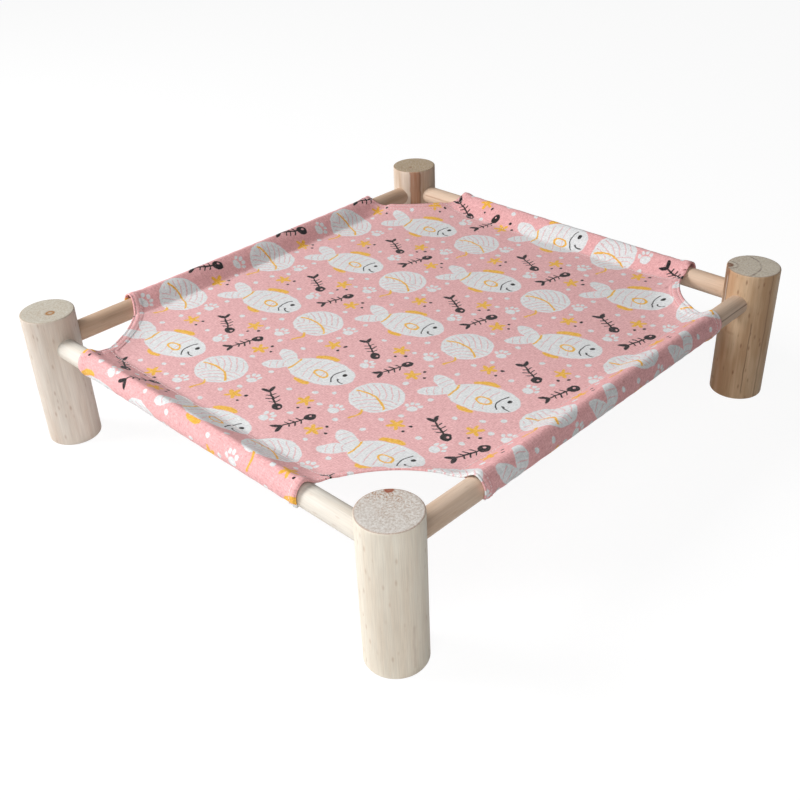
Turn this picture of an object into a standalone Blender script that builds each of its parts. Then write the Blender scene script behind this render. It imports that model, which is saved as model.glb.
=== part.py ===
"""Low raised bed for a cat: four log legs, four round rails and one cloth cover.

Each rail is pushed into a blind socket in the leg at either end. The cover is a single
cloth: each of its four edges is turned over a rail, brought back underneath and sewn to
the panel, which makes a sleeve, and each corner is cut back in a curve so that the cloth
clears the leg.

Frame: metres, +Z up, origin on the floor midway between the legs. The front edge is at
-Y, and right is +X.
"""

import math

import bmesh
import bpy

# Legs: peeled logs, sawn square and stood on end
LEG_SPACING_X = 0.450
LEG_SPACING_Y = 0.500
LEG_HEIGHT = 0.136
LEG_DIAMETER = 0.051
LEG_EDGE_BREAK = 0.0012

# Rails: round dowels, all at one height
RAIL_DIAMETER = 0.020
RAIL_DROP = 0.032
RAIL_EDGE_BREAK = 0.0010

# Blind sockets in the legs, with the wood left between the two that meet in one leg
SOCKET_CLEARANCE = 0.0003
SOCKET_WEB = 0.0012
RAIL_END_GAP = 0.0003

# Cover: the seam is measured inward from the rail's axis
CLOTH_THICKNESS = 0.0012
SLEEVE_CLEARANCE = 0.0003
SEAM_OFFSET = 0.020
SEAM_ALLOWANCE = 0.008
PANEL_SAG = 0.004

# How far each corner is cut back from the leg's axis, along the rail in X and along the
# one in Y, and how full its curve is: 1 is a straight cut and 2 is part of an ellipse
CORNER_CUTS = {
    "front_left": (0.066, 0.088, 1.45),
    "front_right": (0.094, 0.086, 1.55),
    "back_right": (0.067, 0.076, 1.80),
    "back_left": (0.080, 0.077, 1.25),
}

# Facets
LEG_SEGMENTS = 64
RAIL_SEGMENTS = 40
SLEEVE_SEGMENTS = 28
CORNER_SEGMENTS = 16
PANEL_CELL = 0.022

# A cutting tool runs this far past what it cuts, and a face that is to be buried in
# another solid lies this far under its surface
CUT_OVERSHOOT = 0.010
BURIED = 0.0001

# Sizes that follow from the ones above
RAIL_HEIGHT = LEG_HEIGHT - RAIL_DROP
RAIL_RADIUS = RAIL_DIAMETER / 2
SOCKET_RADIUS = RAIL_RADIUS + SOCKET_CLEARANCE
SOCKET_FLOOR = SOCKET_RADIUS + SOCKET_WEB
RAIL_END = SOCKET_FLOOR + RAIL_END_GAP
SLEEVE_INNER = RAIL_RADIUS + SLEEVE_CLEARANCE
SLEEVE_OUTER = SLEEVE_INNER + CLOTH_THICKNESS
SEWN_EDGE = SEAM_OFFSET + SEAM_ALLOWANCE
PANEL_HALF_X = LEG_SPACING_X / 2 - SEAM_OFFSET
PANEL_HALF_Y = LEG_SPACING_Y / 2 - SEAM_OFFSET

# The corners, in the order of the quarter turns that bring a leg's +X and +Y sockets round
# to its two rails
CORNERS = ("front_left", "front_right", "back_right", "back_left")


def sides(corner):
    """The signs of X and Y at a corner."""
    side_x = 1 if "right" in corner else -1
    side_y = 1 if "back" in corner else -1
    return side_x, side_y


def clear_scene():
    for thing in list(bpy.data.objects):
        bpy.data.objects.remove(thing, do_unlink=True)


def make_material(name, colour, roughness):
    material = bpy.data.materials.new(name)
    material.use_nodes = True
    shader = material.node_tree.nodes["Principled BSDF"]
    shader.inputs["Base Color"].default_value = (*colour, 1.0)
    shader.inputs["Roughness"].default_value = roughness
    shader.inputs["Metallic"].default_value = 0.0
    material.diffuse_color = (*colour, 1.0)
    return material


def add_object(name, mesh):
    thing = bpy.data.objects.new(name, mesh)
    bpy.context.scene.collection.objects.link(thing)
    return thing


def mesh_from(shape, name):
    """Turns a bmesh into a mesh and frees it."""
    mesh = bpy.data.meshes.new(name)
    shape.to_mesh(mesh)
    shape.free()
    return mesh


def turned_mesh(name, profile, segments):
    """A solid turned about Z from (radius, height) pairs, listed from its foot up."""
    shape = bmesh.new()
    rings = []
    for radius, height in profile:
        ring = []
        for step in range(segments):
            angle = 2 * math.pi * step / segments
            ring.append(shape.verts.new((radius * math.cos(angle), radius * math.sin(angle), height)))
        rings.append(ring)
    for lower, upper in zip(rings, rings[1:]):
        for step in range(segments):
            after = (step + 1) % segments
            shape.faces.new((lower[step], lower[after], upper[after], upper[step]))
    shape.faces.new(list(reversed(rings[0])))
    shape.faces.new(rings[-1])
    return mesh_from(shape, name)


def rod_profile(radius, length, edge_break):
    """Half of a plain rod with both edges broken, for turned_mesh."""
    return [
        (radius - edge_break, 0.0),
        (radius, edge_break),
        (radius, length - edge_break),
        (radius - edge_break, length),
    ]


def add_prism(shape, outline, low, high, place):
    """Adds a closed outline to a bmesh, carried from low to high.

    place(across, up, along) gives the position of each of its corners.
    """
    ends = []
    for along in (low, high):
        ends.append([shape.verts.new(place(across, up, along)) for across, up in outline])
    faces = [shape.faces.new(end) for end in ends]
    for step in range(len(outline)):
        after = (step + 1) % len(outline)
        faces.append(shape.faces.new((ends[0][step], ends[0][after], ends[1][after], ends[1][step])))
    bmesh.ops.recalc_face_normals(shape, faces=faces)


def apply_boolean(target, tool, operation):
    """Joins or cuts one object with another, keeps the result and removes the tool."""
    modifier = target.modifiers.new(operation.title(), "BOOLEAN")
    modifier.operation = operation
    modifier.solver = "EXACT"
    modifier.object = tool
    graph = bpy.context.evaluated_depsgraph_get()
    result = bpy.data.meshes.new_from_object(target.evaluated_get(graph))
    target.modifiers.clear()
    target.data = result
    bpy.data.objects.remove(tool, do_unlink=True)


def finish_mesh(mesh, name, material, angle):
    """Names and colours a mesh, and shades it smooth across edges duller than angle."""
    mesh.name = name
    mesh.materials.clear()
    mesh.materials.append(material)
    mesh.polygons.foreach_set("material_index", [0] * len(mesh.polygons))
    mesh.shade_smooth()
    mesh.set_sharp_from_angle(angle=math.radians(angle))
    return mesh


def make_leg_mesh(material):
    """A log with its foot at the origin, and a socket that faces +X and one that faces +Y."""
    radius = LEG_DIAMETER / 2
    log = add_object("log", turned_mesh("log", rod_profile(radius, LEG_HEIGHT, LEG_EDGE_BREAK), LEG_SEGMENTS))
    drill_profile = [(SOCKET_RADIUS, SOCKET_FLOOR), (SOCKET_RADIUS, radius + CUT_OVERSHOOT)]
    for turn in ((0, math.pi / 2, 0), (-math.pi / 2, 0, 0)):
        drill = add_object("drill", turned_mesh("drill", drill_profile, RAIL_SEGMENTS))
        drill.rotation_euler = turn
        drill.location.z = RAIL_HEIGHT
        apply_boolean(log, drill, "DIFFERENCE")
    mesh = log.data
    bpy.data.objects.remove(log, do_unlink=True)
    return finish_mesh(mesh, "leg", material, 30)


def add_legs(bed, material):
    mesh = make_leg_mesh(material)
    for turns, corner in enumerate(CORNERS):
        side_x, side_y = sides(corner)
        leg = add_object("leg_" + corner, mesh)
        leg.parent = bed
        leg.location = (side_x * LEG_SPACING_X / 2, side_y * LEG_SPACING_Y / 2, 0)
        leg.rotation_euler.z = turns * math.pi / 2


def add_rails(bed, material):
    """Two rails along X and two along Y, each from socket to socket."""
    length_x = LEG_SPACING_X - 2 * RAIL_END
    length_y = LEG_SPACING_Y - 2 * RAIL_END
    long_x = turned_mesh("rail_x", rod_profile(RAIL_RADIUS, length_x, RAIL_EDGE_BREAK), RAIL_SEGMENTS)
    long_y = turned_mesh("rail_y", rod_profile(RAIL_RADIUS, length_y, RAIL_EDGE_BREAK), RAIL_SEGMENTS)
    finish_mesh(long_x, "rail_x", material, 30)
    finish_mesh(long_y, "rail_y", material, 30)
    for name, side in (("rail_front", -1), ("rail_back", 1)):
        rail = add_object(name, long_x)
        rail.parent = bed
        rail.location = (-length_x / 2, side * LEG_SPACING_Y / 2, RAIL_HEIGHT)
        rail.rotation_euler.y = math.pi / 2
    for name, side in (("rail_left", -1), ("rail_right", 1)):
        rail = add_object(name, long_y)
        rail.parent = bed
        rail.location = (side * LEG_SPACING_X / 2, -length_y / 2, RAIL_HEIGHT)
        rail.rotation_euler.x = -math.pi / 2


def sleeve_outlines():
    """Outside and inside of a sleeve's cross-section, as (inward, up) from the rail's axis.

    The cloth lies round the rail and leaves it in two straight runs that meet at the seam.
    Past the seam, the sewn edge lies flat under the panel.
    """
    seam_distance = math.hypot(SEAM_OFFSET, CLOTH_THICKNESS)
    leaving = math.atan2(CLOTH_THICKNESS, SEAM_OFFSET) + math.acos(SLEEVE_OUTER / seam_distance)
    turn = 2 * math.pi - 2 * leaving
    angles = [leaving + turn * step / SLEEVE_SEGMENTS for step in range(SLEEVE_SEGMENTS + 1)]
    outside = [(SEWN_EDGE, CLOTH_THICKNESS), (SEAM_OFFSET, CLOTH_THICKNESS)]
    outside += [(SLEEVE_OUTER * math.cos(a), SLEEVE_OUTER * math.sin(a)) for a in angles]
    outside += [(SEAM_OFFSET, -CLOTH_THICKNESS), (SEWN_EDGE, -CLOTH_THICKNESS)]
    inside = [(SLEEVE_INNER / math.cos(leaving), 0)]
    inside += [(SLEEVE_INNER * math.cos(a), SLEEVE_INNER * math.sin(a)) for a in angles]
    return outside, inside


def four_prisms(name, outline, clear_of_leg):
    """The same outline carried along all four rails, stopping short of the legs' axes."""
    shape = bmesh.new()
    half_x = LEG_SPACING_X / 2
    half_y = LEG_SPACING_Y / 2
    for side in (-1, 1):
        end = half_x - clear_of_leg
        add_prism(shape, outline, -end, end, lambda across, up, along: (along, side * (half_y - across), up))
        end = half_y - clear_of_leg
        add_prism(shape, outline, -end, end, lambda across, up, along: (side * (half_x - across), along, up))
    return add_object(name, mesh_from(shape, name))


def panel_height(x, y):
    """Height of the panel's upper face above the rails' axes: it sags to the middle."""
    slack_x = 1 - (x / PANEL_HALF_X) ** 2
    slack_y = 1 - (y / PANEL_HALF_Y) ** 2
    return CLOTH_THICKNESS - BURIED - PANEL_SAG * slack_x * slack_y


def add_panel():
    """The sagging panel between the four seams, its edge buried in the sewn layers."""
    shape = bmesh.new()
    columns = math.ceil(2 * PANEL_HALF_X / PANEL_CELL)
    rows = math.ceil(2 * PANEL_HALF_Y / PANEL_CELL)
    grid = []
    for row in range(rows + 1):
        line = []
        y = PANEL_HALF_Y * (2 * row / rows - 1)
        for column in range(columns + 1):
            x = PANEL_HALF_X * (2 * column / columns - 1)
            line.append(shape.verts.new((x, y, panel_height(x, y))))
        grid.append(line)
    upper = []
    for row in range(rows):
        for column in range(columns):
            near = grid[row]
            far = grid[row + 1]
            upper.append(shape.faces.new((near[column], near[column + 1], far[column + 1], far[column])))
    lower = bmesh.ops.extrude_face_region(shape, geom=upper, use_keep_orig=True)
    moved = [part for part in lower["geom"] if isinstance(part, bmesh.types.BMVert)]
    bmesh.ops.translate(shape, verts=moved, vec=(0, 0, -CLOTH_THICKNESS))
    bmesh.ops.recalc_face_normals(shape, faces=shape.faces)
    return add_object("cover", mesh_from(shape, "cover"))


def corner_outline(corner):
    """What is cut away at one corner, seen from above, in the bed's X and Y."""
    reach_x, reach_y, fullness = CORNER_CUTS[corner]
    side_x, side_y = sides(corner)
    past = -(SLEEVE_OUTER + CUT_OVERSHOOT)
    points = [(past, past), (reach_x, past)]
    for step in range(CORNER_SEGMENTS + 1):
        angle = math.pi / 2 * step / CORNER_SEGMENTS
        points.append((
            reach_x * math.cos(angle) ** (2 / fullness),
            reach_y * math.sin(angle) ** (2 / fullness),
        ))
    points.append((past, reach_y))
    middle_x = side_x * LEG_SPACING_X / 2
    middle_y = side_y * LEG_SPACING_Y / 2
    return [(middle_x - side_x * inward_x, middle_y - side_y * inward_y) for inward_x, inward_y in points]


def corner_cutters():
    shape = bmesh.new()
    depth = SLEEVE_OUTER + CUT_OVERSHOOT
    for corner in CORNERS:
        add_prism(shape, corner_outline(corner), -depth, depth, lambda x, y, z: (x, y, z))
    return add_object("corners", mesh_from(shape, "corners"))


def add_cover(bed, material):
    outside, inside = sleeve_outlines()
    cover = add_panel()
    apply_boolean(cover, four_prisms("sleeves", outside, SEWN_EDGE + CUT_OVERSHOOT), "UNION")
    apply_boolean(cover, four_prisms("tunnels", inside, SEWN_EDGE), "DIFFERENCE")
    apply_boolean(cover, corner_cutters(), "DIFFERENCE")
    finish_mesh(cover.data, "cover", material, 30)
    cover.parent = bed
    cover.location.z = RAIL_HEIGHT


def main():
    clear_scene()
    bed = bpy.data.objects.new("bed", None)
    bpy.context.scene.collection.objects.link(bed)
    log_wood = make_material("log_wood", (0.80, 0.71, 0.58), 0.62)
    dowel_wood = make_material("dowel_wood", (0.82, 0.74, 0.60), 0.55)
    printed_cloth = make_material("printed_cloth", (0.85, 0.50, 0.50), 0.85)
    add_legs(bed, log_wood)
    add_rails(bed, dowel_wood)
    add_cover(bed, printed_cloth)


main()
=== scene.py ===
import math

import bpy
import numpy as np
from mathutils import Matrix, Vector


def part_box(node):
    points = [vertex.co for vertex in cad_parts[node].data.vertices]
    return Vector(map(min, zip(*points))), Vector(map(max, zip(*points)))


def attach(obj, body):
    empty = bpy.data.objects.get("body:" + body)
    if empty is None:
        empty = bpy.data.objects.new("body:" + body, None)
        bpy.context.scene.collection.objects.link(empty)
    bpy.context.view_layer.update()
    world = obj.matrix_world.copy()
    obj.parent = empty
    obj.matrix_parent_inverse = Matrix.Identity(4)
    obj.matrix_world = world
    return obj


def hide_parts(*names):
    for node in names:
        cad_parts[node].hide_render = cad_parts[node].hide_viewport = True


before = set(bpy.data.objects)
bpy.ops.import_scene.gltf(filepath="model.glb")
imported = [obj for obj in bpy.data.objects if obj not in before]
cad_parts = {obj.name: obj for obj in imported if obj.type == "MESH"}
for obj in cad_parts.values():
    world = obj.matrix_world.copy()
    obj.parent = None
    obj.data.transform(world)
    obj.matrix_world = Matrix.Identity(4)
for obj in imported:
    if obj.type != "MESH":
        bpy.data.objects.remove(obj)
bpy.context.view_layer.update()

# Raised cat bed: a printed cotton cover stretched over four dowels that stand in four peeled logs.
# Metres, +Z up, front edge at -Y, right is +X. The patterns on the cloth are drawn in millimetres.

mm = 0.001
print("frame loaded:", sorted(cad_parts))


# The places that everything is built from, read off the frame
def boxCentre(node):
    low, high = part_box(node)
    return (low + high) / 2


railLow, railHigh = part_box("rail_front")
legLow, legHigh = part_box("leg_front_left")
bed = {
    "halfX": boxCentre("rail_right").x,
    "halfY": boxCentre("rail_back").y,
    "railHeight": boxCentre("rail_front").z,
    "railRadius": (railHigh.z - railLow.z) / 2,
    "legHeight": legHigh.z,
    "legRadius": (legHigh.x - legLow.x) / 2,
}
corners = ("front_left", "front_right", "back_right", "back_left")
# along each axis: from the bed's middle to a rail, and the rails at its low and high ends
spans = {"x": (bed["halfX"], "left", "right"), "y": (bed["halfY"], "front", "back")}


def cornerSides(corner):
    return (1 if "right" in corner else -1), (1 if "back" in corner else -1)


def placeInScene(name, data):
    thing = bpy.data.objects.new(name, data)
    bpy.context.scene.collection.objects.link(thing)
    return thing


# Camera: the photograph's own angle and distance
camera = {
    "azimuth": 45.384,
    "elevation": 32.429,
    "roll": -2.4545,
    "distance": 0.92474,
    "target": (0.07095, -0.08326, 0.080),
    "lens": 46.831,
    "sensor": 36,
}


def addCamera():
    turn, rise, roll = [math.radians(camera[angle]) for angle in ("azimuth", "elevation", "roll")]
    back = Vector((math.sin(turn) * math.cos(rise), -math.cos(turn) * math.cos(rise), math.sin(rise)))
    right = Vector((math.cos(turn), math.sin(turn), 0))
    up = back.cross(right)
    rolledRight = right * math.cos(roll) + up * math.sin(roll)
    rolledUp = up * math.cos(roll) - right * math.sin(roll)
    data = bpy.data.cameras.new("camera")
    data.lens = camera["lens"]
    data.sensor_width = camera["sensor"]
    thing = placeInScene("camera", data)
    axes = Matrix((rolledRight, rolledUp, back)).transposed()
    place = Vector(camera["target"]) + back * camera["distance"]
    thing.matrix_world = Matrix.Translation(place) @ axes.to_4x4()
    bpy.context.scene.camera = thing


addCamera()
bpy.context.scene.view_settings.view_transform = "Standard"
print("camera placed")


# Small helpers for node trees. A new node goes beside the nodes that feed it, or in the given tree.
def isSocket(value):
    return isinstance(value, bpy.types.NodeSocket)


def feed(value, socket):
    if isSocket(value):
        socket.id_data.links.new(value, socket)
    elif socket.type == "RGBA":
        socket.default_value = (*value, 1)
    else:
        socket.default_value = value


def addNode(kind, inputs, tree=None, **settings):
    tree = tree or next(value.id_data for value in inputs.values() if isSocket(value))
    node = tree.nodes.new("ShaderNode" + kind)
    for name, value in settings.items():
        setattr(node, name, value)
    for name, value in inputs.items():
        feed(value, node.inputs[name])
    return node


def calc(operation, *values, clamp=False):
    return addNode("Math", dict(enumerate(values)), operation=operation, use_clamp=clamp).outputs[0]


# The same operation over any number of values
def chain(operation, values):
    total = values[0]
    for value in values[1:]:
        total = calc(operation, total, value)
    return total


def times(*values):
    return chain("MULTIPLY", values)


def minus(first, second, clamp=False):
    return calc("SUBTRACT", first, second, clamp=clamp)


def vectorCalc(operation, *values):
    node = addNode("VectorMath", dict(enumerate(values)), operation=operation)
    return node.outputs["Value" if operation in ("LENGTH", "DOT_PRODUCT") else "Vector"]


def partsOf(vector):
    return addNode("SeparateXYZ", {0: vector}).outputs


def mapping(vector, location=(0, 0, 0), turn=0, scale=(1, 1, 1), kind="POINT"):
    inputs = {0: vector, 1: location, 2: (0, 0, turn), 3: scale}
    return addNode("Mapping", inputs, vector_type=kind).outputs[0]


def noise(vector, scale, detail=2.0, roughness=0.5, colour=False):
    inputs = {"Vector": vector, "Scale": scale, "Detail": detail, "Roughness": roughness}
    return addNode("TexNoise", inputs).outputs["Color" if colour else 0]


def cellsOf(vector, scale):
    return addNode("TexVoronoi", {"Vector": vector, "Scale": scale, "Randomness": 1.0}).outputs


def ramp(value, fromLow, fromHigh, toLow=0.0, toHigh=1.0, smooth=False):
    inputs = dict(enumerate((value, fromLow, fromHigh, toLow, toHigh)))
    return addNode("MapRange", inputs, interpolation_type="SMOOTHSTEP" if smooth else "LINEAR").outputs[0]


def mixColour(amount, first, second, blend="MIX"):
    inputs = {"Factor": amount, 6: first, 7: second}
    return addNode("Mix", inputs, data_type="RGBA", blend_type=blend).outputs[2]


# A colour made lighter or darker by a number
def shaded(colour, amount):
    grey = addNode("CombineColor", {0: amount, 1: amount, 2: amount}).outputs[0]
    return mixColour(1.0, colour, grey, "MULTIPLY")


# Names of a group's sockets are listed under v for vectors, c for colours and f for numbers
def newGroup(name, inputs, outputs):
    tree = bpy.data.node_groups.new(name, "ShaderNodeTree")
    kinds = {"v": "NodeSocketVector", "c": "NodeSocketColor", "f": "NodeSocketFloat"}
    for side, sockets in (("INPUT", inputs), ("OUTPUT", outputs)):
        for kind, labels in sockets.items():
            for label in labels:
                tree.interface.new_socket(label, in_out=side, socket_type=kinds[kind])
    return tree, tree.nodes.new("NodeGroupInput").outputs, tree.nodes.new("NodeGroupOutput").inputs


def useGroup(group, **inputs):
    return addNode("Group", inputs, node_tree=group).outputs


def newMaterial(name, kind="BsdfPrincipled"):
    material = bpy.data.materials.new(name)
    material.use_nodes = True
    tree = material.node_tree
    tree.nodes.clear()
    shader = addNode(kind, {}, tree)
    addNode("OutputMaterial", {"Surface": shader.outputs[0]})
    return material, tree, shader


def objectPlace(tree):
    return addNode("TexCoord", {}, tree).outputs["Object"]


# Colour, roughness and shine of a surface, and its relief as strength, depth and height
def finishSurface(shader, colour, roughness, shine, relief):
    bump = addNode("Bump", dict(zip(("Strength", "Distance", "Height"), relief)))
    feed(colour, shader.inputs["Base Color"])
    feed(roughness, shader.inputs["Roughness"])
    feed(bump.outputs[0], shader.inputs["Normal"])
    shader.inputs["Specular IOR Level"].default_value = shine


# Floor and light: a pale floor that still takes the shadow, a broad lamp from the left of
# the view, a nearer and weaker one beside the camera, and a faint white sky
white = (1, 1, 1)
light = {
    "sky": 0.04,
    "lamps": {
        "window": {"from": (-0.57, -0.52, 0.635), "distance": 2.2, "size": 1.1, "strength": 0.99},
        "fill": {"from": (0.50, -0.60, 0.62), "distance": 1.2, "size": 0.8, "strength": 0.35},
    },
    "floorHalf": 6.0,
    "floorColour": (0.93, 0.93, 0.93),
    "floorGlow": 0.86,
    "floorWhite": 1.07,
}


def backgroundRays(tree):
    path = addNode("LightPath", {}, tree).outputs
    kinds = ("Is Camera Ray", "Is Glossy Ray", "Is Transmission Ray")
    return chain("MAXIMUM", [path[kind] for kind in kinds])


def addSky():
    world = bpy.data.worlds.new("sky")
    world.use_nodes = True
    tree = world.node_tree
    background = tree.nodes["Background"].inputs
    feed(white, background["Color"])
    feed(ramp(backgroundRays(tree), 0, 1, light["sky"], 1.0), background["Strength"])
    bpy.context.scene.world = world


# A lamp of power P at distance d lights a surface that faces it by P / (pi d)^2
def addLamp(name, lamp):
    data = bpy.data.lights.new(name, "AREA")
    data.shape = "DISK"
    data.size = lamp["size"]
    data.energy = lamp["strength"] * (math.pi * lamp["distance"]) ** 2
    thing = placeInScene(name, data)
    toLamp = Vector(lamp["from"]).normalized()
    thing.location = toLamp * lamp["distance"]
    thing.rotation_mode = "QUATERNION"
    thing.rotation_quaternion = (-toLamp).to_track_quat("-Z", "Y")


def addFloor():
    half = light["floorHalf"]
    mesh = bpy.data.meshes.new("floor")
    points = [(-half, -half, 0), (half, -half, 0), (half, half, 0), (-half, half, 0)]
    mesh.from_pydata(points, [], [(0, 1, 2, 3)])
    material, tree, mix = newMaterial("paper_floor", "MixShader")
    matt = addNode("BsdfDiffuse", {"Color": light["floorColour"]}, tree)
    glow = addNode("Emission", {"Color": white, "Strength": light["floorWhite"]}, tree)
    share = times(backgroundRays(tree), light["floorGlow"])
    for value, socket in zip((share, matt.outputs[0], glow.outputs[0]), mix.inputs):
        feed(value, socket)
    mesh.materials.append(material)
    floor = placeInScene("floor", mesh)


addSky()
for name, lamp in light["lamps"].items():
    addLamp(name, lamp)
addFloor()
print("floor and light placed")


# Meshes from arrays. Cloth also has its flat coordinates and where it lies double, which sets its painted
# shade.
def meshFromArrays(name, points, faces, flat=None, doubledShade=None):
    mesh = bpy.data.meshes.new(name)
    mesh.from_pydata(points.reshape(-1, 3).tolist(), [], [list(face) for face in faces])
    if flat is not None:
        layer = mesh.uv_layers.new(name="cloth")
        loops = np.zeros(len(mesh.loops), dtype=np.int32)
        mesh.loops.foreach_get("vertex_index", loops)
        layer.data.foreach_set("uv", flat.reshape(-1, 2)[loops].ravel())
        mesh.attributes.new("doubledShade", "FLOAT", "POINT").data.foreach_set("value", doubledShade.ravel())
    mesh.polygons.foreach_set("use_smooth", np.ones(len(mesh.polygons), dtype=bool))
    mesh.update()
    return placeInScene(name, mesh)


# Every quad of a grid whose four corners are all there, as rows of vertex numbers
def gridFaces(there, wrapRows=False):
    number = np.cumsum(there.ravel()).reshape(there.shape) - 1
    if wrapRows:
        number, there = [np.vstack([rows, rows[:1]]) for rows in (number, there)]
    whole = there[:-1, :-1] & there[1:, :-1] & there[1:, 1:] & there[:-1, 1:]
    quads = np.stack([number[:-1, :-1], number[1:, :-1], number[1:, 1:], number[:-1, 1:]], axis=-1)
    return quads[whole]


def smoothStep(value, low, high):
    t = np.clip((value - low) / (high - low), 0, 1)
    return t * t * (3 - 2 * t)


# Length along a line of points, from its start
def runLength(points):
    return np.concatenate([[0], np.cumsum(np.linalg.norm(np.diff(points, axis=0), axis=1))])


def unit(vectors):
    return vectors / np.linalg.norm(vectors, axis=-1, keepdims=True)


# A wave whose length wanders: sin(a x + b sin(c x))
def wandering(x, a, b, c):
    return np.sin(x * a + b * np.sin(x * c))


# Cover: one cloth, turned over each rail and sewn to itself underneath. Its shape is a
# function of two numbers. Each is followed on the plan from the bed's middle to a rail's top,
# and along the cloth from there: down the outside, under the rail and back to the seam.
cover = {
    "thickness": 0.8 * mm,
    "clearance": 0.4 * mm,
    "seam": 20 * mm,
    # the panel hangs a little under the rails' axes and turns up to each in a valley, given by
    # its distance from the rail's axis and its softness
    "drop": 2.0 * mm,
    "valleys": {
        "left": (18.2 * mm, 0.4 * mm),
        "right": (21.0 * mm, 0.8 * mm),
        "front": (23.8 * mm, 1.3 * mm),
        "back": (19.2 * mm, 0.5 * mm),
    },
    # the sleeve stands off the top of its rail as a soft ridge, and hugs the rail further round
    "ridge": 2.8 * mm,
    "ridgeWidth": math.radians(55),
    "ridgeSoftness": 0.7 * mm,
    # it stands off further over the rail at its open ends
    "flare": 1.2 * mm,
    "flareReach": 14 * mm,
    "overRail": 12 * mm,
    # rings of slack run round it, and are so many times deeper still at its ends
    "slack": 0.11 * mm,
    "slackWaves": {"x": (310, 2.2, 47), "y": (290, 2.0, 53)},
    "gathers": 3.0,
    # its lower layer laps under the panel, and stops short of the upper one at its ends
    "allowance": 8 * mm,
    "layerGap": 1.0 * mm,
    "underCut": 12 * mm,
    "sag": 4 * mm,
    "pucker": 0.16 * mm,
    "puckerReach": 9 * mm,
    "puckerWave": (395, 1.7, 61),
    "hem": 8 * mm,
    "hemFade": (-0.9 * mm, 0.5 * mm),
    "hemBump": 0.90 * mm,
    "hemGroove": 0.55 * mm,
    "grooveWidth": 0.8 * mm,
    "hemRows": (1.9 * mm, 6.4 * mm),
    # how far each corner is cut back along X and along Y, and how full its curve is
    "cornerCuts": {
        "front_left": (66 * mm, 88 * mm, 1.45),
        "front_right": (87 * mm, 87 * mm, 1.72),
        "back_right": (67 * mm, 76 * mm, 1.80),
        "back_left": (80 * mm, 77 * mm, 1.25),
    },
    # the cut edge is drawn tight between the rails, which lifts it off the level of the seams,
    # and its last few millimetres roll down
    "cornerLifts": {
        "front_left": 5.5 * mm,
        "front_right": 9.2 * mm,
        "back_right": 10.7 * mm,
        "back_left": 9.7 * mm,
    },
    "liftReach": 14 * mm,
    "liftFromRail": (6 * mm, 25 * mm),
    "hemRoll": 1.3 * mm,
}
sleeveRadius = bed["railRadius"] + cover["clearance"] + cover["thickness"] / 2
leaving = math.acos(sleeveRadius / cover["seam"])
tangentIn = sleeveRadius * math.cos(leaving)
tangentHeight = sleeveRadius * math.sin(leaving)
slopeLength = cover["seam"] * math.sin(leaving)
slopeRun = cover["seam"] - tangentIn
slope = (tangentHeight + cover["drop"]) / slopeRun


# Outside of a sleeve, by angle from where it reaches the rail, over the top, to where it leaves
# underneath: the smaller of a line, radius / cos(angle from its foot), and
# radius + ridge exp(-(angle from the top / width)^2). Lengths are measured from over the rail.
def sleeveOutline():
    tilt = math.pi / 2 - leaving
    steepest = 1.45
    angle = np.linspace(-tilt, math.pi + tilt, 400)
    hugging = sleeveRadius + cover["ridge"] * np.exp(-(angle / cover["ridgeWidth"]) ** 2)
    onLine = np.cos(np.minimum(angle + tilt, steepest))
    soft = cover["ridgeSoftness"]
    radius = -soft * np.log(np.exp(-sleeveRadius / onLine / soft) + np.exp(-hugging / soft))
    out, up = radius * np.sin(angle), radius * np.cos(angle)
    length = runLength(np.stack([out, up], axis=-1))
    return length - np.interp(0, angle, length), out, up


wrapMarks, wrapOut, wrapUp = sleeveOutline()
wrapArc = wrapMarks[-1]
wrapLength = wrapArc + slopeLength + cover["allowance"]
topMark = int(np.argmax(wrapOut > 0)) + 1
flatToTop = slopeLength - wrapMarks[0]


# Cross-section over a rail: level to its valley, up to the rail, round the outline, straight back
# to the seam and on under the panel. The turn in the valley is w log(1 + exp(distance / w)). Gives
# the distance from the bed's middle, the height over the panel's level and the place on flat cloth.
def section(along, axis):
    half, lowSide, highSide = spans[axis]
    valleys = cover["valleys"]
    valley, soft = [np.where(along < 0, *pair) for pair in zip(valleys[lowSide], valleys[highSide])]
    size = np.abs(along)
    inward = half - size
    turned = np.clip((valley - inward) / soft, -30, 30)
    climb = np.minimum(np.log1p(np.exp(turned)) * soft * slopeRun / (valley - tangentIn), slopeRun)
    # on the rail's inner side, up to its top
    rounded = inward < tangentIn
    near = -np.clip(inward, 0, tangentIn)
    flatTop = half - cover["seam"] + flatToTop
    overTop = np.interp(near, wrapOut[:topMark], wrapUp[:topMark]) + cover["drop"]
    toTop = flatTop + np.interp(near, wrapOut[:topMark], wrapMarks[:topMark])
    # and past the top
    beyond = np.maximum(size - half, 0)
    past = beyond > 0
    share = np.clip((beyond - wrapArc) / slopeLength, 0, 1)
    lap = np.maximum(beyond - wrapArc - slopeLength, 0)
    outside = half + np.interp(beyond, wrapMarks, wrapOut) - share * slopeRun - lap
    tuck = cover["layerGap"] * smoothStep(share, 0.5, 1)
    under = np.interp(beyond, wrapMarks, wrapUp) + share * tangentHeight - tuck
    under = under + cover["drop"] * (1 - share)
    place = np.where(past, outside, size)
    rise = np.where(past, under, np.where(rounded, overTop, climb * slope))
    onSlope = size + climb * (math.hypot(1, slope) - 1)
    flat = np.where(past, flatTop + beyond, np.where(rounded, toTop, onSlope))
    return np.sign(along) * place, rise, np.sign(along) * flat


# How much further back the cut is on the part of a sleeve that lies a given length past its top
def underCut(beyond):
    return cover["underCut"] * smoothStep(beyond, wrapArc * 0.45, wrapArc)


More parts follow.
